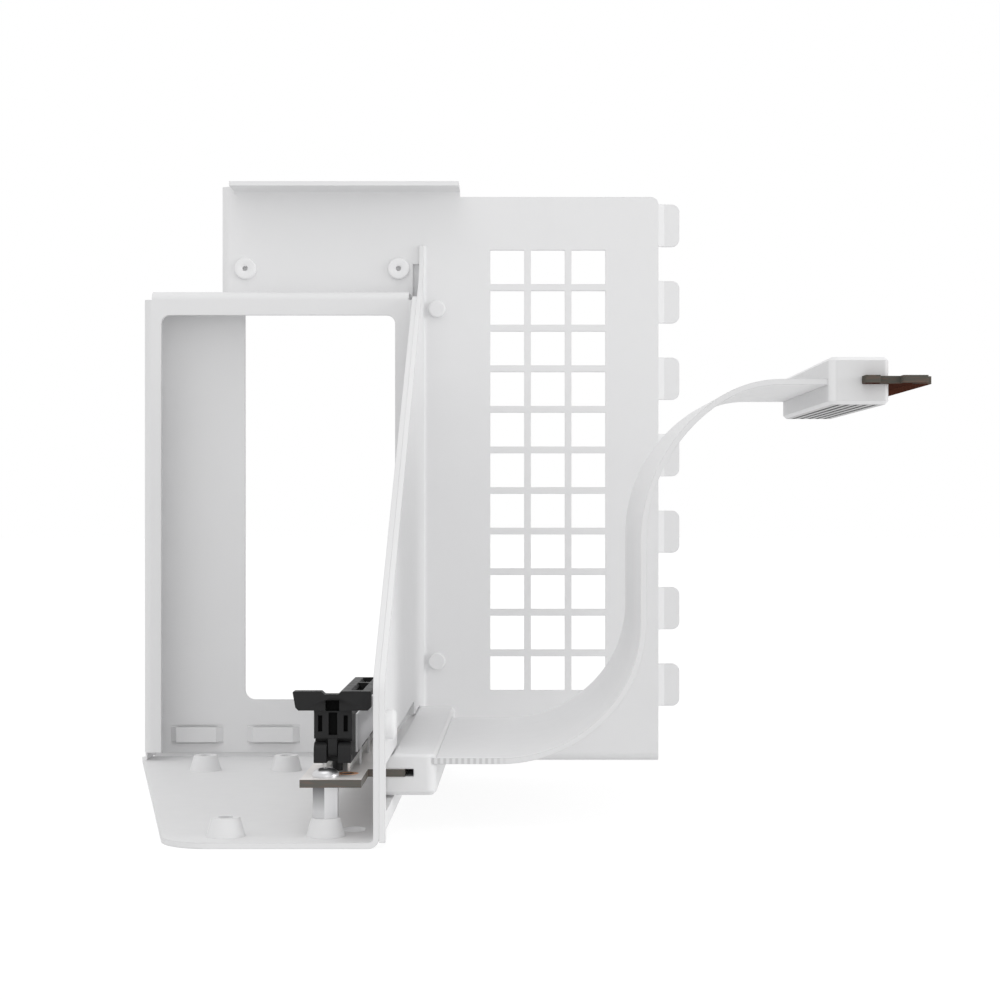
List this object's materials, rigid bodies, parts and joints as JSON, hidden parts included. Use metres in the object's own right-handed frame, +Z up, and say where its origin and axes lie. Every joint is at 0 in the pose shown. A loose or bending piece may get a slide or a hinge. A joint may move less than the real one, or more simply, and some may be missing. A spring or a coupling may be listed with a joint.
{
  "type": "vertical gpu mount",
  "caption": "White folded-steel bracket that holds a graphics card upright in a tower case, with a vented rear plate, a latching card slot and a flat riser cable.",
  "frame": {"origin": "on the base plane, straight under the middle of the card slot", "axes": "+X to the right towards the vented plate's slot feet, +Y rearward out of the case, +Z up"},
  "size_m": [0.1866, 0.1527, 0.1522],
  "materials": {
    "white_plate": "fine textured white powder coat",
    "white_frame": "fine textured white powder coat",
    "white_panel": "fine textured white powder coat",
    "white_ledge": "fine textured white powder coat",
    "rivet_steel": "white, painted over",
    "stud_steel": "white, painted over",
    "screw_steel": "white enamel",
    "nut_steel": "zinc plated",
    "standoff_brass": "nickel plated",
    "board_screw_steel": "zinc plated",
    "board_white": "white solder mask",
    "ring_gold": "bare plated copper",
    "slot_black": "moulded, matt",
    "contact_tin": "tin plated",
    "shield_steel": "bright steel strip",
    "latch_black": "moulded, matt",
    "near_white": "moulded, satin",
    "cable_white": "soft satin jacket",
    "far_white": "moulded, satin",
    "edge_brown": "dark laminate edge, masked faces",
    "pad_gold": "gold plated"
  },
  "bodies": {
    "mount": {"rear_plate": "white_plate", "card_frame": "white_frame", "window_panel": "white_panel", "card_ledge": "white_ledge", "plate_rivets": "rivet_steel", "panel_studs": "stud_steel", "clamp_screw": "screw_steel", "clamp_nut": "nut_steel", "board_standoffs": "standoff_brass", "board_screws": "board_screw_steel", "riser_board": "board_white", "ground_ring": "ring_gold", "card_slot": "slot_black", "slot_contacts": "contact_tin", "slot_shield": "shield_steel", "near_housing": "near_white", "ribbon_cable": "cable_white", "far_housing": "far_white", "edge_board": "edge_brown", "edge_pads": "pad_gold"},
    "latch": {"slot_latch": "latch_black"}
  },
  "joints": [
    {"name": "latch_pivot", "type": "hinge", "parent": "mount", "child": "latch", "pos_m": [0, -0.046, 0.0183], "axis": [1, 0, 0], "range_deg": [0, 25]}
  ]
}
